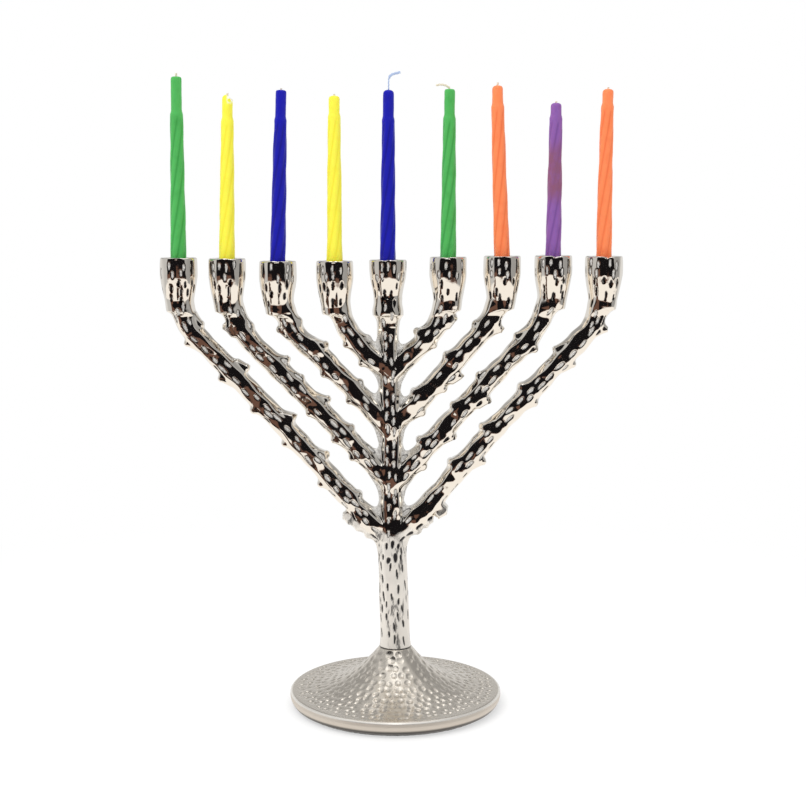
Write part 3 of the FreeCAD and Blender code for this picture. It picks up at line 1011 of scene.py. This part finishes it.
# slits under the lowest crotch: (distance to the right of the trunk's axis, height, degrees
# the long direction leans to the right of upright, half length, half width)
CROTCH_SLITS = [
    (-3.2, 92.4, 0, 2.3, 0.9), (0.2, 93.4, 5, 2.7, 1.1), (3.6, 92.2, 12, 2.0, 0.9),
    (1.6, 86.0, 0, 3.2, 1.4), (5.4, 85.6, -5, 2.5, 0.9), (-2.2, 84.4, 18, 2.2, 1.4),
    (-6.4, 86.0, 0, 1.9, 0.8), (6.6, 95.6, 60, 2.3, 1.1), (10.2, 98.6, 60, 2.5, 1.1),
    (15.6, 103.0, 60, 2.4, 1.0), (21.6, 107.6, 55, 2.2, 0.9),
]


class Dent:
    """Mark in the metal: centre, outward direction, long direction, half sizes, depth. A slit
    is a narrow one, painted dark as shade."""

    def __init__(self, centre, outward, along, half_length, half_width, depth, slit):
        self.centre, self.outward = centre, outward
        self.along = unit(along - outward * (along @ outward))
        self.across = np.cross(outward, self.along)
        self.half_length, self.half_width, self.depth = half_length, half_width, depth
        self.slit = slit


def limb_dents(limb, rows, dent, first, last, rng):
    """Rows of dents along a limb, from the first distance to the last."""
    spacing, length, width, depth = dent
    dents = []
    for row, (angle, kept, slits) in enumerate(rows):
        place = first + spacing * (0.5 if row % 2 else 0.0) + rng.uniform(0, 0.3) * spacing
        while place < last:
            here = place + rng.uniform(-1.3, 1.3)
            a = math.radians(angle + rng.uniform(-7, 7))
            keep = rng.random() < kept
            slit = rng.random() < slits
            size = rng.uniform((0.72, 0.85, 0.85), (1.28, 1.15, 1.15))
            tilt = math.radians(rng.uniform(-9, 9))
            place += spacing
            if not keep:
                continue
            index = int(np.clip(np.searchsorted(limb.along, here), 1, len(limb.along) - 1))
            tangent = limb.tangents[index]
            outward = FRONT * math.cos(a) + upper_side(tangent) * math.sin(a)
            spot = limb.centres[index] + outward * limb.radii[index]
            along = tangent * math.cos(tilt) + np.cross(outward, tangent) * math.sin(tilt)
            sizes = (0.5 * length * size[0], 0.5 * width * size[1], depth * size[2])
            dents.append(Dent(spot, outward, along, *sizes, slit))
    return dents


def cup_dents(number, rng):
    """Upright dents round a cup, closest together on its front and back; slits lower down."""
    x, rim_z = RIMS[number]
    dents = []
    for depth in CUP_DENT_DEPTHS:
        radius = np.interp(depth, *CUP_PROFILES[number].T)
        count = int(2 * math.pi * radius / CUP_DENT_PITCH)
        start = rng.uniform(0, 2 * math.pi)
        for k in range(count):
            angle = start + 2 * math.pi * (k + rng.uniform(-0.25, 0.25)) / count
            level = depth + rng.uniform(-1.4, 1.4)
            outward = np.array([math.cos(angle), math.sin(angle), 0.0])
            keep = rng.random() < (0.8 if abs(outward[1]) > 0.75 else 0.3)
            sizes = CUP_DENT_SIZES * rng.uniform(0.8, 1.2, 3)
            if keep:
                spot = np.array([x, 0.0, rim_z - level]) + outward * radius
                dents.append(Dent(spot, outward, UPWARDS, *sizes, depth > CUP_SLIT_DEPTH))
    return dents


def crotch_slits():
    """The slits on the front of the trunk and of the lowest right arm's root."""
    slits = []
    for x, z, lean, half_length, half_width in CROTCH_SLITS:
        axis_x = np.interp(z, TRUNK.centres[:, 2], TRUNK.centres[:, 0])
        spot = onto_tree(np.array([[axis_x + x, -7.0, z]]), 6)[0]
        outward = unit(tree_distance(spot[None])[1][0])
        along = np.array([math.sin(math.radians(lean)), 0.0, math.cos(math.radians(lean))])
        sizes = (half_length, half_width, CROTCH_SLIT_DEPTH)
        slits.append(Dent(spot, outward, along, *sizes, True))
    return slits


def tree_dents():
    """Every dent, on the surface, without those that run into one before."""
    rng = np.random.default_rng(21)
    dents = crotch_slits()
    for limb in ARMS.values():
        dents += limb_dents(limb, ARM_ROWS, ARM_DENT, 8.0, limb.along[-1] - 10.0, rng)
    crotch = LOWEST_CROTCH_Z - TRUNK.centres[0, 2]
    dents += limb_dents(TRUNK, TRUNK_ROWS, TRUNK_DENT, crotch, TRUNK.along[-1] - 4.0, rng)
    dents += limb_dents(TRUNK, FOOT_ROWS, FOOT_DENT, 8.0, crotch, rng)
    for number in RIMS:
        dents += cup_dents(number, rng)
    kept, places = [], np.zeros((0, 3))
    for dent, spot in zip(dents, onto_tree(np.array([d.centre for d in dents]), 4)):
        if np.linalg.norm(spot - dent.centre) > MOST_DENT_SHIFT:
            continue
        if len(places) and np.linalg.norm(places - spot, axis=1).min() < LEAST_DENT_GAP:
            continue
        dent.centre = spot
        kept.append(dent)
        places = np.vstack([places, spot])
    return kept


def press_dents(points, normals, dents):
    """Moves points in at each dent. Returns them, how far each point is in a dent's satin floor,
    and how far it is in a slit or the line round a dent, which are painted dark as shade."""
    order = np.argsort(points[:, 0])
    sorted_x = points[order, 0]
    inwards, floor, dark = np.zeros((3, len(points)))
    for dent in dents:
        reach = dent.half_length + 0.6
        first, last = np.searchsorted(sorted_x, [dent.centre[0] - reach, dent.centre[0] + reach])
        ids = order[first:last]
        offset = points[ids] - dent.centre
        close = np.abs(offset).max(1) < reach
        ids, offset = ids[close], offset[close]
        facing = normals[ids] @ dent.outward > 0.2
        ids, offset = ids[facing], offset[facing]
        u = offset @ dent.along / dent.half_length
        v = offset @ dent.across / dent.half_width / (1.0 + 0.25 * u)
        size = np.abs(u) ** DENT_SQUARENESS + np.abs(v) ** DENT_SQUARENESS
        size = size ** (1 / DENT_SQUARENESS)
        inwards[ids] = np.maximum(inwards[ids], dent.depth * ramp(-size, -1.12, -0.62))
        # painted shade: slits are darkened in colour
        if dent.slit:
            dark[ids] = np.maximum(dark[ids], ramp(-size, -1.02, -0.78))
        else:
            floor[ids] = np.maximum(floor[ids], ramp(-size, -0.92, -0.72))
            # painted shade: a dark line round each dent
            line = ramp(-size, -1.2, -1.05) * ramp(size, 0.74, 0.88)
            dark[ids] = np.maximum(dark[ids], 0.8 * line)
    return points - normals * inwards[:, None], floor, dark


def brushed_share(points):
    """1 on the trunk's foot and round the root knots, which are only brushed."""
    edge_z = LOWEST_CROTCH_Z + 1.0 + 2.4 * waves(points, 9.0, 15)
    brushed = ramp(edge_z - points[:, 2], -1.5, 1.5)
    for number, row in ROOT_KNOTS.items():
        for distance, _ in row:
            centre, upper = place_on_route(number, distance)
            gap = np.linalg.norm((points - (centre - ROOT_BRUSHED_DROP * upper))[:, ::2], axis=1)
            brushed = np.maximum(brushed, ramp(-gap, -5.4, -3.8))
    return brushed


def make_tree():
    """The whole casting, with the shares of satin, painted shade with grime, and brushing at each
    point.
    """
    rough = voxel_skin(rough_tree(), ROUGH_VOXEL)
    set_vertices(rough, onto_tree(read(rough.vertices, "co"), 3))
    mesh = voxel_skin(rough, FINE_VOXEL)
    points = onto_tree(read(mesh.vertices, "co"), 2)
    set_vertices(mesh, points)
    on_web = limbs_distance(points)[2] * ramp(-points[:, 2], -222.0, -216.0)
    normals = read(mesh.vertex_normals, "vector")
    points, floor, dark = press_dents(points, normals, tree_dents())
    set_vertices(mesh, points * MM)
    seam_line = ramp(-points[:, 2], -SEAM_Z - 0.9, -SEAM_Z - 0.5)
    set_attribute(mesh, "satin", np.maximum(floor, on_web))
    # painted shade in the slits and round the dents, with the dark seam line
    set_attribute(mesh, "painted_shade_and_grime", np.maximum(dark, seam_line))
    set_attribute(mesh, "brushed", brushed_share(points))
    mesh.shade_smooth()
    metal = polished_aluminium()
    piece("tree_casting", mesh, metal, "stand", ["trunk", *ARM_NODES])


# ---- the hammered foot ------------------------------------------------------------------

BASE_RADIUS = 59.9
BASE_FOOT_RADIUS = 57.0
BASE_WIDEST_Z = 6.2
BASE_EDGE_Z = 9.0
BASE_EDGE_ROLL = 1.5
BASE_BEVEL = 1.0
BASE_WALL = 3.2
BASE_COLUMNS = 760
BASE_STEP = 0.45
BELL_POWER = 2.7
SEAM_RADIUS = 9.15
BOSS_RADIUS = 10.5
BOSS_BOTTOM_Z = 14.0
BOLT_CLEARANCE_RADIUS = 3.3
FELT_THICKNESS = 1.0
FELT_COLUMNS = 240
PEEN_SPACING = 5.0


def bell_height(radius):
    share = (BASE_RADIUS - radius) / (BASE_RADIUS - SEAM_RADIUS)
    return BASE_EDGE_Z + (SEAM_Z - BASE_EDGE_Z) * np.maximum(share, 0.0) ** BELL_POWER


def bell_curve(first, last, count, lower=0.0):
    """(radius, z) along the bell, or as far below it as asked."""
    radii = np.linspace(first, last, count)
    return np.stack([radii, bell_height(radii) - lower], axis=-1)


def evenly(profile, step):
    """A profile of (radius, z) with points about a step apart."""
    profile = np.asarray(profile, float)
    along = lengths_along(profile)
    count = max(2, int(round(along[-1] / step)) + 1)
    return points_at(np.linspace(0, along[-1], count), profile, along)


def peen_marks():
    """The hammer's marks: rings of them up the bell, each ring offset from the last. Each is
    its place, size and depth."""
    rng = np.random.default_rng(33)
    radii = np.linspace(SEAM_RADIUS, BASE_RADIUS, 400)
    arc = np.concatenate([[0], np.cumsum(np.hypot(np.diff(radii), np.diff(bell_height(radii))))])
    marks = []
    place = 2.2
    ring = 0
    while place < arc[-1] - 2.4:
        radius = np.interp(place, arc, radii)
        count = max(12, int(round(2 * math.pi * radius / PEEN_SPACING)))
        for k in range(count):
            angle = 2 * math.pi * (k + 0.5 * (ring % 2) + rng.uniform(-0.24, 0.24)) / count
            r = np.interp(place + rng.uniform(-0.9, 0.9), arc, radii)
            spot = (r * math.cos(angle), r * math.sin(angle), bell_height(r))
            marks.append((spot, rng.uniform(1.8, 2.4), rng.uniform(0.30, 0.44)))
        place += 0.92 * PEEN_SPACING
        ring += 1
    return marks


def hammered(points, bell):
    """Points on the bell moved in at each of the hammer's marks."""
    skin = points.reshape(-1, 3)
    inwards = np.zeros(len(skin))
    order = np.argsort(skin[:, 0])
    sorted_x = skin[order, 0]
    for spot, size, depth in peen_marks():
        first, last = np.searchsorted(sorted_x, [spot[0] - size, spot[0] + size])
        ids = order[first:last]
        away = np.linalg.norm(skin[ids] - spot, axis=1) / size
        inwards[ids] = np.maximum(inwards[ids], depth * (1 - np.minimum(away, 1.0) ** 2))
    rho = np.hypot(skin[:, 0], skin[:, 1])
    slope = np.interp(rho, bell[:, 0], np.gradient(bell[:, 1], bell[:, 0]))
    normal = [-slope * skin[:, 0] / rho, -slope * skin[:, 1] / rho, np.ones(len(skin))]
    skin = skin - unit(np.stack(normal, axis=-1)) * inwards[:, None]
    return skin.reshape(points.shape)


def make_base():
    """The foot: a hammered bell, a rolled edge, and a hollow with a boss for the bolt."""
    bell = bell_curve(SEAM_RADIUS, BASE_RADIUS - BASE_EDGE_ROLL, 200)
    start = bell[-1]
    widest = np.array([BASE_RADIUS, BASE_WIDEST_Z])
    bevel = np.array([BASE_RADIUS - 0.12, start[1] - BASE_BEVEL])
    roll = [start, 0.5 * (start + bevel) + (0.12, 0.12), bevel, widest]
    foot_curve = [
        widest, (BASE_RADIUS - 0.25, 4.6), (BASE_RADIUS - 1.0, 3.0), (BASE_RADIUS - 2.0, 1.7),
        (BASE_FOOT_RADIUS - 0.3, FELT_THICKNESS),
    ]
    hollow = BASE_FOOT_RADIUS - BASE_WALL
    bolt, boss = BOLT_CLEARANCE_RADIUS, BOSS_RADIUS
    sections = [
        evenly([(bolt, SEAM_Z), (SEAM_RADIUS - 0.1, SEAM_Z)], 1.5)[:-1],
        evenly(bell, BASE_STEP),
        evenly(roll, 0.2)[1:],
        evenly(foot_curve, 0.6)[1:],
        evenly([(BASE_FOOT_RADIUS - 0.6, FELT_THICKNESS), (hollow, FELT_THICKNESS)], 1.5),
        evenly(bell_curve(hollow, boss + 4, 40, BASE_WALL), 2.0),
        evenly([(boss + 1.0, BOSS_BOTTOM_Z + 3), (boss, BOSS_BOTTOM_Z)], 1.5),
        evenly([(boss - 0.5, BOSS_BOTTOM_Z), (bolt, BOSS_BOTTOM_Z)], 1.5),
        evenly([(bolt, BOSS_BOTTOM_Z + 1), (bolt, SEAM_Z - 1)], 3.0),
    ]
    profile = np.concatenate(sections)
    points = lathe(profile, BASE_COLUMNS)
    first, last = np.cumsum([len(section) for section in sections])[:2]
    points[first:last] = hammered(points[first:last], bell)
    mesh = grid_mesh("base_casting", points[::-1] * MM, closed=True)
    radius, z = profile.T
    outer = (np.arange(len(profile)) >= last - 1) & (radius > hollow + 1.0)
    above = ramp(z, bevel[1] - 0.5, bevel[1] - 0.1)
    side = outer * (1 - above)
    shares = {
        "buffed": outer * above * (z < start[1] - 0.2),
        "side": side,
        # painted shade low on the side, near the floor
        "painted_under_shade": side * ramp(-z, -4.4, -3.0),
    }
    for name, share in shares.items():
        set_attribute(mesh, name, np.repeat(share[::-1], BASE_COLUMNS))
    metal = hammered_aluminium()
    piece("base_casting_hammered", mesh, metal, "stand", ["base_casting"])


def make_felt():
    """Disc of felt with rounded edges and a slightly furry outline."""
    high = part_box("felt_pad")[1]
    radius, thick = high.x / MM, high.z / MM
    profile = [(0.02, 0.0)]
    profile += [(r, 0.0) for r in np.linspace(2, radius - 0.5, 50)]
    profile += [(radius - 0.12, 0.12), (radius, 0.35), (radius, 0.65), (radius - 0.12, 0.88)]
    profile += [(r, thick) for r in np.linspace(radius - 0.5, 2, 50)]
    profile += [(0.02, thick)]
    points = lathe(profile, FELT_COLUMNS)
    flat = points.reshape(-1, 3)
    rho = np.hypot(flat[:, 0], flat[:, 1])
    fuzz = 0.10 * (waves(flat, 2.2, 41) - 2.0) * ramp(rho, radius - 3, radius - 0.3)
    flat[:, :2] *= (1 + fuzz / np.maximum(rho, 1.0))[:, None]
    mesh = grid_mesh("felt_pad", points * MM)
    piece("felt_pad_cut", mesh, felt(), "stand", ["felt_pad"])


# ---- candles ----------------------------------------------------------------------------

FLUTES = 6
FLUTE_TWIST = math.radians(200)
FLUTE_DEPTH = 0.3
CANDLE_COLUMNS = 120

# left to right: lean to the right in degrees, shoulder and tip above the rim, wax, kind of
# tip, sideways bow at mid-height
CANDLES = [
    (0.4, 77.6, 97.5, "green", "flat", 0.0),
    (1.1, 74.5, 88.2, "yellow", "slanted", 0.0),
    (1.8, 76.3, 92.2, "blue", "flat", 0.0),
    (0.2, 78.1, 89.1, "yellow", "round", 0.0),
    (0.3, 75.7, 91.6, "blue", "dome", 0.0),
    (0.3, 75.0, 90.5, "green", "flat", 0.0),
    (-2.1, 80.7, 91.9, "orange", "round", 0.35),
    (0.3, 74.2, 82.3, "purple", "round", 0.0),
    (0.4, 80.8, 90.1, "orange", "round", 0.4),
]
FOOT_RADIUS = 4.4
SHOULDER_RADIUS = 3.5
NECK_RADIUS = 2.95
SEAT_GAP = 0.3
CANDLE_FOOT_Z = SEAT_GAP - SOCKET_DEPTH
# the end of each kind of tip: (distance below the top, share of the neck's radius)
TIP_SHAPES = {
    "dome": [(2.4, 1.0), (1.5, 0.97), (0.8, 0.86), (0.3, 0.64), (0.0, 0.34)],
    "round": [(2.0, 1.0), (1.2, 0.96), (0.6, 0.84), (0.2, 0.6), (0.0, 0.32)],
    "flat": [(1.5, 1.0), (0.8, 0.96), (0.35, 0.86), (0.1, 0.66), (0.0, 0.35)],
    "slanted": [(2.8, 1.0), (1.6, 0.95), (0.8, 0.8), (0.25, 0.6), (0.0, 0.32)],
}
# colour of each wax, and its deeper colour for clouds and for painted shade in the grooves
WAXES = {
    "green": ((0.084, 0.455, 0.105), (0.038, 0.300, 0.055)),
    "yellow": ((0.960, 0.880, 0.075), (0.880, 0.760, 0.040)),
    "blue": ((0.007, 0.008, 0.400), (0.003, 0.003, 0.240)),
    "orange": ((0.980, 0.265, 0.100), (0.840, 0.175, 0.055)),
    "purple": ((0.270, 0.115, 0.400), (0.180, 0.070, 0.285)),
}
PURPLE_STAIN = (0.262, 0.098, 0.188)


def placed(points, number, degrees):
    """Points round an upright axis, in millimetres, moved to their lean in the cup; in metres."""
    x, rim_z = RIMS[number]
    cosine, sine = math.cos(math.radians(degrees)), math.sin(math.radians(degrees))
    turned_x = points[..., 0] * cosine + points[..., 2] * sine
    turned_z = -points[..., 0] * sine + points[..., 2] * cosine
    return np.stack([turned_x + x, points[..., 1], turned_z + rim_z], axis=-1) * MM


def candle_profile(shoulder_z, tip_z, tip):
    """(radius, z) from the foot up: a tapered shaft, a shoulder, a straight neck and the tip."""
    foot, foot_z, shoulder, neck = FOOT_RADIUS, CANDLE_FOOT_Z, SHOULDER_RADIUS, NECK_RADIUS
    profile = [(0.05, foot_z), (foot - 0.6, foot_z), (foot - 0.15, foot_z + 0.2), (foot, foot_z + 0.8)]
    for z in np.linspace(foot_z + 1.5, shoulder_z - 0.8, 80):
        profile.append((foot + (shoulder - foot) * max(z, 0.0) / shoulder_z, z))
    profile += [
        (shoulder - 0.04, shoulder_z - 0.2), (shoulder - 0.18, shoulder_z + 0.4),
        (neck + 0.18, shoulder_z + 1.1), (neck + 0.03, shoulder_z + 1.8),
    ]
    profile += [(neck, z) for z in np.linspace(shoulder_z + 2.5, tip_z - tip[0][0] - 0.4, 12)]
    profile += [(neck * share, tip_z - drop) for drop, share in tip]
    return [*profile, (0.05, tip_z)]


def make_candle(number, row, material):
    """A fluted candle in its cup, a little uneven, and chipped at a slanted tip."""
    degrees, shoulder_z, tip_z, colour, tip_kind, bow = row
    rng = np.random.default_rng(500 + number)
    points = lathe(candle_profile(shoulder_z, tip_z, TIP_SHAPES[tip_kind]), CANDLE_COLUMNS)
    flat = points.reshape(-1, 3)
    rho = np.hypot(flat[:, 0], flat[:, 1])
    angle = np.arctan2(flat[:, 1], flat[:, 0])
    height = flat[:, 2].copy()
    fluted = ramp(-height, -shoulder_z - 0.5, -shoulder_z + 4) * ramp(height, -SOCKET_DEPTH, 1.0)
    twist = FLUTE_TWIST * height / shoulder_z + rng.uniform(0, 2 * math.pi)
    groove = fluted * (1 - np.abs(np.cos(0.5 * FLUTES * (angle - twist))))
    uneven = 0.05 * waves(flat, 22.0, 600 + number) + 0.02 * waves(flat, 5.0, 700 + number)
    change = (-FLUTE_DEPTH * groove + uneven) * ramp(rho, 1.0, 2.6)
    flat[:, :2] *= (1 + change / np.maximum(rho, 0.5))[:, None]
    chipped = tip_kind == "slanted"
    if chipped:
        cut = tip_z - 0.2 - 0.75 * (flat[:, 0] + 0.4)
        flat[:, 2] = np.where(height > tip_z - 4, np.minimum(flat[:, 2], cut), flat[:, 2])
    along = np.clip(height / tip_z, 0, 1)
    flat[:, 0] -= bow * 4 * along * (1 - along)
    mesh = grid_mesh("candle", placed(points, number, degrees))
    scuff = ramp(height, tip_z - 5.5, tip_z - 3.0) * ramp(flat[:, 0], -0.6, 0.8)
    share = height / shoulder_z
    stain = ramp(share, 0.34, 0.50) * ramp(-share, -0.88, -0.70)
    # painted shade in the grooves
    set_attribute(mesh, "groove", groove ** 2)
    set_attribute(mesh, "scuff", scuff * chipped)
    set_attribute(mesh, "stain", stain * (colour == "purple"))
    node = "candle_%d" % number
    piece(node + "_twisted", mesh, material, node, [node])


WICK_RADIUS = 0.55
WICK_START = 4.0
WICK_COLUMNS = 20
WICK_SHAFT_RINGS = 60
WICK_TIP_RINGS = 46
PLAIT_RATE = 3.4
DYED_WICK = 5
# free end of each wick above its candle's top: (x, height)
WICK_STUB = [(0.0, 0.0), (0.0, 0.5), (0.0, 0.9)]
WICK_TIPS = {
    1: [(0.0, 0.0), (0.0, 0.9), (0.05, 1.8)],
    5: [(0.0, 0.0), (0.05, 2.5), (0.1, 5.0), (0.5, 6.9), (1.9, 8.2), (4.2, 8.9), (6.4, 9.4)],
    6: [(0.0, 0.0), (-0.5, 0.8), (-1.4, 1.5), (-2.8, 2.0), (-4.4, 2.3), (-6.0, 2.2), (-7.4, 1.8)],
    7: [(0.0, 0.0), (0.1, 0.8), (0.3, 1.6)],
}


def smooth_line(points, steps):
    """Points on a smooth curve through the given ones."""
    along = lengths_along(points)
    slopes = np.gradient(points, along, axis=0)
    stops = np.linspace(0, along[-1], steps)
    k = np.clip(np.searchsorted(along, stops) - 1, 0, len(points) - 2)
    h = (along[k + 1] - along[k])[:, None]
    t = (stops - along[k])[:, None] / h
    ends = (2 * t ** 3 - 3 * t ** 2 + 1) * points[k] + (-2 * t ** 3 + 3 * t ** 2) * points[k + 1]
    return ends + ((t ** 3 - 2 * t ** 2 + t) * slopes[k] + (t ** 3 - t ** 2) * slopes[k + 1]) * h


def make_wick(number, row, material):
    """Round and plain inside the candle, three plaited strands where it's free."""
    degrees, _, tip_z = row[:3]
    heights = np.linspace(CANDLE_FOOT_Z + WICK_START, tip_z - 1.0, WICK_SHAFT_RINGS)
    free = np.array([(x, 0.0, tip_z + up) for x, up in WICK_TIPS.get(number, WICK_STUB)])
    shaft = heights[:, None] * UPWARDS
    centres = np.concatenate([shaft, smooth_line(free, WICK_TIP_RINGS)])
    along = lengths_along(centres)
    free_length = np.clip(along - along[WICK_SHAFT_RINGS - 1], 0, None)[:, None]
    radius = np.full_like(free_length, WICK_RADIUS)
    if number == DYED_WICK:
        swollen = 0.36 + 0.32 * ramp(free_length, 6.0, 8.5)
        radius = np.where(free_length > 0.3, swollen, radius)
    strands = 3 * np.arange(WICK_COLUMNS) * 2 * math.pi / WICK_COLUMNS
    plait = 0.07 * np.cos(strands + free_length * PLAIT_RATE)
    plait += 0.05 * np.cos(strands - free_length * PLAIT_RATE)
    points = tube(centres, radius + np.where(free_length > 0, plait, 0.0), -1)
    mesh = grid_mesh("wick", placed(points, number, degrees))
    piece("wick_%d_braided" % number, mesh, material, "candle_%d" % number, ["wick_%d" % number])


# ---- make everything ----------------------------------------------------------------------

make_tree()
make_base()
make_felt()

zinc = zinc_steel()
for node in ("base_bolt", "flat_washer", "spring_washer"):
    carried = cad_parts[node]
    carried.data.materials.clear()
    carried.data.materials.append(zinc)

waxes = {
    name: wax("wax_" + name, *colours, PURPLE_STAIN if name == "purple" else None)
    for name, colours in WAXES.items()
}
plain_cotton = cotton("plain_cotton", (0.86, 0.80, 0.66), (0.62, 0.54, 0.40))
dyed_cotton = cotton("dyed_cotton", (0.52, 0.62, 0.80), (0.36, 0.44, 0.66))
for number, row in enumerate(CANDLES, start=1):
    make_candle(number, row, waxes[row[3]])
    make_wick(number, row, dyed_cotton if number == DYED_WICK else plain_cotton)
